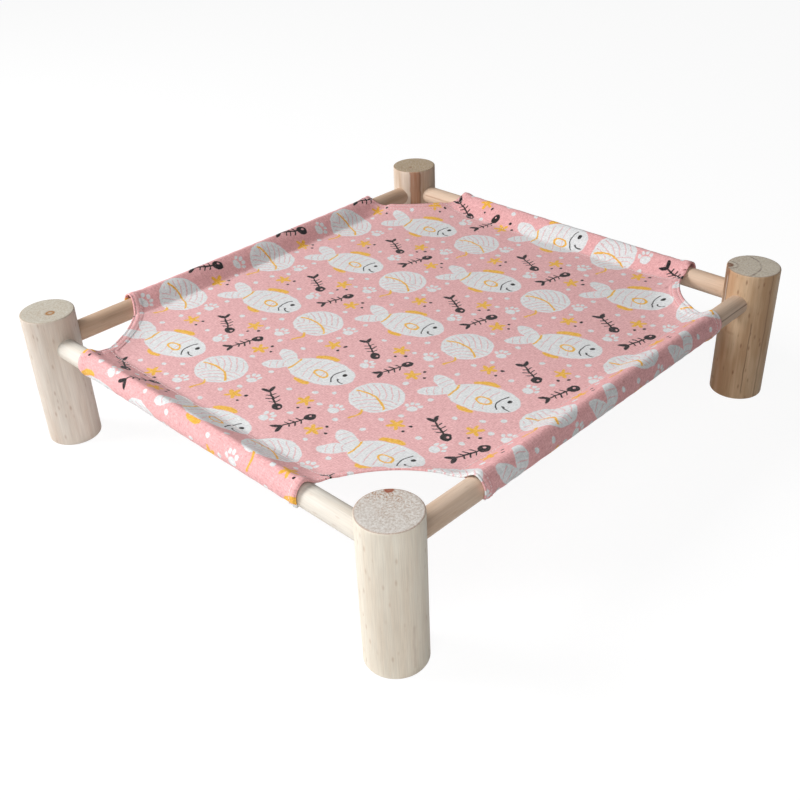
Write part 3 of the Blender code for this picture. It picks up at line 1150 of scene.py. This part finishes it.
def weaveGroup():
    tree, given, result = newGroup("canvas_weave", {"v": ["Cloth"]}, {"f": ["Height", "Tone"]})
    cloth = given["Cloth"]
    shift = (weaving["wander"], weaving["wander"], 0)
    bent = vectorCalc("MULTIPLY_ADD", noise(cloth, 90, 2, colour=True), shift, cloth)
    angles = [times(part, math.pi / weaving["pitch"]) for part in partsOf(bent)[:2]]
    (sineX, cosineX), (sineY, cosineY) = [(calc("SINE", angle), calc("COSINE", angle)) for angle in angles]
    warp = calc("MULTIPLY_ADD", sineX, cosineY, calc("ABSOLUTE", sineX))
    weft = calc("MULTIPLY_ADD", times(sineY, -1), cosineX, calc("ABSOLUTE", sineY))
    height = times(calc("MAXIMUM", warp, weft), 0.5)
    narrow, long = weaving["slubs"]
    slubX = noise(mapping(cloth, scale=(narrow, long, 1)), 1.0, 2, 0.6)
    slubY = noise(mapping(cloth, location=(7, 3, 0), scale=(long, narrow, 1)), 1.0, 2, 0.6)
    slub = calc("ADD", slubX, slubY)
    specks = noise(cloth, weaving["specks"], 2, 0.6)
    feed(calc("MULTIPLY_ADD", slub, 0.5, height), result["Height"])
    feed(times(calc("ADD", slub, specks), 1 / 3), result["Tone"])
    return tree


coverPrint = printGroup()
canvasWeave = weaveGroup()


def clothMaterial(name, ghost):
    material, tree, shader = newMaterial(name)
    cloth = addNode("UVMap", {}, tree, uv_map="cloth").outputs[0]
    weave = useGroup(canvasWeave, Cloth=cloth)
    printed = useGroup(coverPrint, Cloth=cloth, Thread=weave["Tone"])
    colour = printed["Color"]
    if ghost:
        colour = mixColour(ghost["amount"], colour, ghost["colour"])
    # threads stand out light and dark, and a slow change of tone lies over the whole cloth
    # painted shade: a deeper colour where the cloth lies double or on wood
    doubledShade = addNode("Attribute", {}, tree, attribute_name="doubledShade").outputs["Fac"]
    exponent = times(ramp(weave["Tone"], 0.35, 0.65, *weaving["exponent"]),
                     ramp(doubledShade, 0, 1, 1.0, weaving["doubledShade"]))
    colour = addNode("Gamma", {0: colour, 1: exponent}).outputs[0]
    tone = ramp(weave["Tone"], 0.35, 0.65, *weaving["tone"])
    slow = ramp(noise(cloth, 9, 3), 0.3, 0.7, 0.965, 1.02)
    # painted shade in the hollows between threads, and painted light on their crowns
    hollowShade = ramp(weave["Height"], 0.3, 1.2, 0.95, 1.03)
    rough = ramp(printed["Ink"], 0, 1, 0.93, 0.80)
    relief = (0.45, 0.25 * mm, weave["Height"])
    finishSurface(shader, shaded(colour, times(tone, slow, hollowShade)), rough, 0.25, relief)
    shader.inputs["Sheen Weight"].default_value = 0.05
    shader.inputs["Sheen Roughness"].default_value = 0.5
    return material


def threadMaterial():
    material, tree, shader = newMaterial("pale_thread")
    twist = noise(objectPlace(tree), 2200, 1)
    colour = mixColour(ramp(twist, 0.35, 0.65), (0.80, 0.62, 0.61), (0.90, 0.80, 0.79))
    finishSurface(shader, colour, ramp(twist, 0.3, 0.7, 0.55, 0.75), 0.5, (0.4, 0.1 * mm, twist))
    return material


face = clothMaterial("printed_canvas", None)
reverse = clothMaterial("canvas_reverse", weaving["reverse"])
coverCloth.data.materials.append(face)
coverCloth.data.materials.append(reverse)
for piece in hems:
    piece.data.materials.append(face)
threads.data.materials.append(threadMaterial())
print("cloth printed")


# Wood. The grain runs along Z, and noise is drawn out along it to the given share of its scale.
def grainNoise(at, share, scale, detail, roughness):
    return noise(mapping(at, scale=(1, 1, share)), scale, detail, roughness)


# Side of a peeled log or a dowel: long soft fibres, slow patches of colour and short flecks
def fibreGroup():
    sockets = {"v": ["At"], "c": ["Pale", "Warm", "Fleck"], "f": ["Patches", "Flecks"]}
    tree, given, result = newGroup("wood_fibre", sockets, {"c": ["Color"], "f": ["Height", "Roughness"]})
    at = given["At"]
    patches = grainNoise(at, 0.22, 42, 3, 0.55)
    streaks = grainNoise(at, 0.045, 260, 3, 0.6)
    fine = grainNoise(at, 0.03, 1500, 2, 0.6)
    patchy = times(ramp(patches, 0.36, 0.68, smooth=True), given["Patches"])
    blend = calc("ADD", patchy, times(ramp(streaks, 0.40, 0.72), 0.50))
    colour = mixColour(calc("MINIMUM", blend, 1.0), given["Pale"], given["Warm"])
    cells = cellsOf(mapping(at, scale=(1, 1, 0.34)), 300)
    chosen = ramp(addNode("SeparateColor", {0: cells["Color"]}).outputs[0], 0.78, 0.86)
    fleck = times(ramp(cells["Distance"], 0.05, 0.42, 1, 0, smooth=True), chosen, given["Flecks"])
    colour = mixColour(fleck, colour, given["Fleck"])
    feed(shaded(colour, ramp(fine, 0.3, 0.7, 0.91, 1.05)), result["Color"])
    rough = calc("MULTIPLY_ADD", streaks, 0.5, times(fine, 0.5))
    feed(calc("MULTIPLY_ADD", fleck, -0.4, rough), result["Height"])
    feed(ramp(streaks, 0.3, 0.7, 0.50, 0.68), result["Roughness"])
    return tree


# Sawn end: growth rings about the pith, open pores that are browner near the heart, faint rays,
# the heart itself and the marks of the saw
def endGroup():
    sockets = {"v": ["At", "Pith"], "c": ["Ground", "Ring", "Heart", "Pore"],
               "f": ["Pores", "Pitch", "Rings", "Late", "Heart Size", "Heart Core", "Rim"]}
    tree, given, result = newGroup("sawn_end", sockets, {"c": ["Color"], "f": ["Height"]})
    level = (1, 1, 0)
    at = vectorCalc("MULTIPLY", vectorCalc("SUBTRACT", given["At"], given["Pith"]), level)
    distance = vectorCalc("LENGTH", at)
    bent = calc("MULTIPLY_ADD", noise(at, 60, 2), 5 * mm, distance)
    ring = calc("PINGPONG", calc("DIVIDE", bent, given["Pitch"]), 0.5)
    late = times(ramp(ring, given["Late"], 0.5, smooth=True), given["Rings"],
                 ramp(noise(at, 110, 2), 0.30, 0.55))
    colour = mixColour(late, given["Ground"], given["Ring"])
    rays = ramp(noise(vectorCalc("NORMALIZE", at), 26, 2), 0.52, 0.66)
    colour = mixColour(times(rays, 0.28), colour, given["Ring"])
    mottled = ramp(noise(at, 480, 3, 0.75), 0.40, 0.60)
    colour = mixColour(times(mottled, given["Pores"], 0.5), colour, (0.88, 0.87, 0.85))
    # pores come in rings, and are fewer by the bark
    banded = ramp(noise(mapping(at, (3, 1, 0)), 75, 2, 0.6), 0.36, 0.60, 0.35, 1.0)
    byBark = ramp(distance, 12 * mm, 38 * mm, 1.0, 0.55)
    pore = times(ramp(cellsOf(at, 640)["Distance"], 0.18, 0.58, 1, 0), banded, byBark, given["Pores"])
    browner = ramp(distance, 12 * mm, 36 * mm)
    colour = mixColour(pore, colour, mixColour(browner, given["Pore"], given["Ring"]))
    heart = calc("DIVIDE", distance, given["Heart Size"])
    heart = times(ramp(heart, 0.85, 1.25, 1, 0), ramp(heart, 0.25, 0.75, given["Heart Core"], 1))
    colour = mixColour(heart, colour, given["Heart"])
    fromAxis = vectorCalc("LENGTH", vectorCalc("MULTIPLY", given["At"], level))
    inRim = ramp(fromAxis, bed["legRadius"] - 2.2 * mm, bed["legRadius"] - 1.0 * mm, smooth=True)
    feed(mixColour(times(inRim, given["Rim"]), colour, given["Pore"]), result["Color"])
    saw = noise(mapping(at, turn=0.5, scale=(14, 620, 1)), 1.0, 2)
    feed(calc("MULTIPLY_ADD", saw, 0.5, times(pore, -0.5)), result["Height"])
    return tree


# A line down the grain on one side, between two heights. It lies where the upright plane through
# the axis and a given outward direction meets the surface, with a wander.
def grainLineGroup():
    sockets = {"v": ["At", "Facing"], "f": ["Width", "Soft", "Wander", "Low", "High"]}
    tree, given, result = newGroup("grain_line", sockets, {"f": ["Mask"]})
    at = given["At"]
    level = vectorCalc("MULTIPLY", at, (1, 1, 0))
    across = partsOf(vectorCalc("CROSS_PRODUCT", level, given["Facing"]))[2]
    shift = minus(noise(mapping(at, scale=(0, 0, 1)), 45, 3), 0.5)
    offset = calc("ABSOLUTE", calc("MULTIPLY_ADD", shift, given["Wander"], across))
    edge = minus(offset, times(given["Width"], 0.5))
    mask = minus(1.0, calc("DIVIDE", edge, given["Soft"]), clamp=True)
    facing = calc("GREATER_THAN", vectorCalc("DOT_PRODUCT", level, given["Facing"]), 0.0)
    height = partsOf(at)[2]
    inside = (minus(height, given["Low"]), minus(given["High"], height))
    low, high = [calc("MULTIPLY", distance, 350, clamp=True) for distance in inside]
    # the fibres show through it
    fibres = ramp(grainNoise(at, 0.045, 420, 3, 0.6), 0.35, 0.65, 1.0, 0.60)
    feed(times(mask, facing, low, high, fibres), result["Mask"])
    return tree


woodFibre = fibreGroup()
sawnEnd = endGroup()
grainLine = grainLineGroup()
woodShine = 0.3


# Lays grain lines over a colour. Each is given by the way it faces, in degrees on the plan from
# +X, its width, soft edge and wander in millimetres, its amount and colour, and its two heights.
def grainLines(at, colour, lines):
    for facing, width, soft, wander, amount, lineColour, (low, high) in lines:
        turn = math.radians(facing)
        mask = useGroup(grainLine, At=at, Facing=(math.cos(turn), math.sin(turn), 0), Width=width * mm,
                        Soft=soft * mm, Wander=wander * mm, Low=low, High=high)["Mask"]
        colour = mixColour(times(mask, amount), colour, lineColour)
    return colour


anyHeight = (-1.0, 1.0)
logLooks = {
    "leg_front_right": {
        "shift": (0, 0, 0),
        "side": {"Pale": (0.81, 0.75, 0.64), "Warm": (0.72, 0.62, 0.50), "Fleck": (0.50, 0.34, 0.23),
                 "Patches": 0.55, "Flecks": 0.45},
        "end": {"Ground": (0.55, 0.50, 0.45), "Ring": (0.42, 0.34, 0.28), "Pore": (0.36, 0.18, 0.09),
                "Rim": 0.45, "Pores": 0.95, "Rings": 0.35, "Late": 0.30, "Pitch": 7.0 * mm,
                "Heart": (0.30, 0.09, 0.05), "Heart Size": 3.4 * mm, "Heart Core": 0.9,
                "Pith": (-0.0165, 0.0165, 0)},
        "lines": [(-12, 1.2, 1.2, 5, 0.35, (0.45, 0.33, 0.25), (0.006, 0.05))],
    },
    "leg_front_left": {
        "shift": (0.3, 0.1, 0.2),
        "side": {"Pale": (0.76, 0.69, 0.61), "Warm": (0.64, 0.53, 0.44), "Fleck": (0.36, 0.20, 0.12),
                 "Patches": 0.75, "Flecks": 0.50},
        "end": {"Ground": (0.49, 0.45, 0.37), "Ring": (0.36, 0.28, 0.19), "Pore": (0.38, 0.25, 0.15),
                "Rim": 0.30, "Pores": 0.45, "Rings": 0.35, "Late": 0.34, "Pitch": 5.5 * mm,
                "Heart": (0.34, 0.16, 0.05), "Heart Size": 4.2 * mm, "Heart Core": 0.35,
                "Pith": (0.0062, -0.0003, 0)},
        "lines": [],
    },
    "leg_back_right": {
        "shift": (0.7, 0.4, 0.1),
        "side": {"Pale": (0.71, 0.51, 0.33), "Warm": (0.50, 0.31, 0.175), "Fleck": (0.24, 0.10, 0.05),
                 "Patches": 0.95, "Flecks": 0.75},
        "end": {"Ground": (0.62, 0.545, 0.43), "Ring": (0.24, 0.17, 0.12), "Pore": (0.28, 0.15, 0.09),
                "Rim": 0.60, "Pores": 0.55, "Rings": 1.0, "Late": 0.435, "Pitch": 21.5 * mm,
                "Heart": (0.20, 0.10, 0.06), "Heart Size": 4.5 * mm, "Heart Core": 0.8,
                "Pith": (-0.020, -0.0125, 0)},
        "lines": [
            (-114, 9.0, 4.0, 7, 0.42, (0.47, 0.21, 0.09), anyHeight),
            (-51.7, 0.3, 0.5, 3, 0.75, (0.13, 0.065, 0.04), (0.008, 0.088)),
            (-134, 8.0, 1.8, 3, 0.80, (0.17, 0.08, 0.05), (0.088, 0.14)),
            (-128, 0.7, 0.8, 5, 0.60, (0.72, 0.66, 0.60), (0.086, 0.13)),
            (-95.6, 6.0, 2.0, 0, 0.60, (0.27, 0.10, 0.055), (0.0705, 0.0745)),
            (-108, 1.5, 1.0, 0, 0.50, (0.27, 0.10, 0.055), (0.071, 0.080)),
            (-17, 0.8, 0.9, 4, 0.55, (0.20, 0.10, 0.06), anyHeight),
            (-130, 2.0, 1.2, 0, 0.60, (0.16, 0.07, 0.04), (0.012, 0.017)),
        ],
    },
    "leg_back_left": {
        "shift": (0.2, 0.8, 0.5),
        "side": {"Pale": (0.79, 0.67, 0.56), "Warm": (0.57, 0.41, 0.29), "Fleck": (0.28, 0.12, 0.07),
                 "Patches": 0.75, "Flecks": 0.30},
        "end": {"Ground": (0.47, 0.35, 0.21), "Ring": (0.30, 0.20, 0.13), "Pore": (0.26, 0.15, 0.09),
                "Rim": 0.45, "Pores": 0.55, "Rings": 0.40, "Late": 0.34, "Pitch": 4.0 * mm,
                "Heart": (0.30, 0.14, 0.08), "Heart Size": 1.6 * mm, "Heart Core": 0.5,
                "Pith": (0.002, -0.008, 0)},
        "lines": [
            (-44, 10.5, 1.8, 6, 0.95, (0.44, 0.20, 0.105), anyHeight),
            (-31, 1.2, 1.0, 5, 0.60, (0.19, 0.075, 0.045), anyHeight),
            (-57, 0.8, 1.0, 5, 0.45, (0.21, 0.085, 0.05), anyHeight),
        ],
    },
}


def logMaterial(name):
    look = logLooks[name]
    material, tree, shader = newMaterial("peeled_" + name)
    centre = boxCentre(name)
    at = mapping(objectPlace(tree), (-centre.x, -centre.y, 0))
    side = useGroup(woodFibre, At=mapping(at, look["shift"]), **look["side"])
    end = useGroup(sawnEnd, At=at, **look["end"])
    middle = bed["legHeight"] / 2
    fromMiddle = calc("ABSOLUTE", minus(partsOf(at)[2], middle))
    isEnd = ramp(fromMiddle, middle - 0.55 * mm, middle - 0.25 * mm)
    colour = mixColour(isEnd, grainLines(at, side["Color"], look["lines"]), end["Color"])
    rough = calc("MAXIMUM", side["Roughness"], times(isEnd, 0.82))
    height = calc("ADD", times(side["Height"], minus(1.0, isEnd)), times(end["Height"], isEnd))
    finishSurface(shader, colour, rough, woodShine, (0.35, 0.4 * mm, height))
    return material


railSide = {"Fleck": (0.45, 0.28, 0.17), "Patches": 0.55, "Flecks": 0.25}
railLooks = {
    "rail_front": {
        "shift": (0.1, 0.0, 0.6),
        "side": {"Pale": (0.77, 0.73, 0.66), "Warm": (0.69, 0.62, 0.53)},
        "lines": [],
    },
    "rail_right": {
        "shift": (0.5, 0.2, 0.3),
        "side": {"Pale": (0.71, 0.55, 0.43), "Warm": (0.57, 0.40, 0.28)},
        "lines": [(-20, 0.6, 0.7, 1, 0.75, (0.16, 0.08, 0.05), (0.12, 0.25))],
    },
    "rail_back": {
        "shift": (0.9, 0.6, 0.4),
        "side": {"Pale": (0.75, 0.575, 0.44), "Warm": (0.61, 0.41, 0.28)},
        "lines": [(-73.5, 0.8, 0.9, 1, 0.65, (0.40, 0.20, 0.12), (0.12, 0.20))],
    },
    "rail_left": {
        "shift": (0.4, 0.9, 0.8),
        "side": {"Pale": (0.625, 0.45, 0.33), "Warm": (0.505, 0.335, 0.225)},
        "lines": [],
    },
}


def railMaterial(name):
    look = railLooks[name]
    material, tree, shader = newMaterial("planed_" + name)
    at = mapping(objectPlace(tree), -boxCentre(name))
    # turned so that the grain runs along Z, as it does in a log
    turnAxis = "Y_AXIS" if railAxis(name) == "x" else "X_AXIS"
    at = addNode("VectorRotate", {"Vector": at, "Angle": math.pi / 2}, rotation_type=turnAxis).outputs[0]
    side = useGroup(woodFibre, At=mapping(at, look["shift"]), **look["side"], **railSide)
    colour = grainLines(at, side["Color"], look["lines"])
    finishSurface(shader, colour, side["Roughness"], woodShine, (0.3, 0.3 * mm, side["Height"]))
    return material


for name, thing in logs.items():
    thing.data.materials.clear()
    thing.data.materials.append(logMaterial(name))
for name, thing in rails.items():
    thing.data.materials.append(railMaterial(name))
print("wood finished")


# What each piece rides on, and the part of the frame it stands for
for name, thing in logs.items():
    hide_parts(name)
    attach(thing, "root")
for name, thing in rails.items():
    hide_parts(name)
    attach(thing, "root")
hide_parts("cover")
for piece in [coverCloth, threads] + hems:
    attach(piece, "root")

# The flat cut: a rectangle less, at each corner, what lies past the cut edge
spare = flatToTop + wrapLength - cover["seam"]
flatSize = (2 * (bed["halfX"] + spare), 2 * (bed["halfY"] + spare))
flatArea = flatSize[0] * flatSize[1]
undersideLength = slopeLength + cover["allowance"] + wrapArc * 0.3
for reachX, reachY, full in cover["cornerCuts"].values():
    curved = float(np.mean(cutAt(np.linspace(0, reachX, 400), reachX, reachY, full))) * reachX
    flatArea -= spare * (reachX + spare + reachY) + curved + 2 * cover["underCut"] * undersideLength
print("flat cloth:", [round(size, 4) for size in flatSize], "area", round(flatArea, 4))
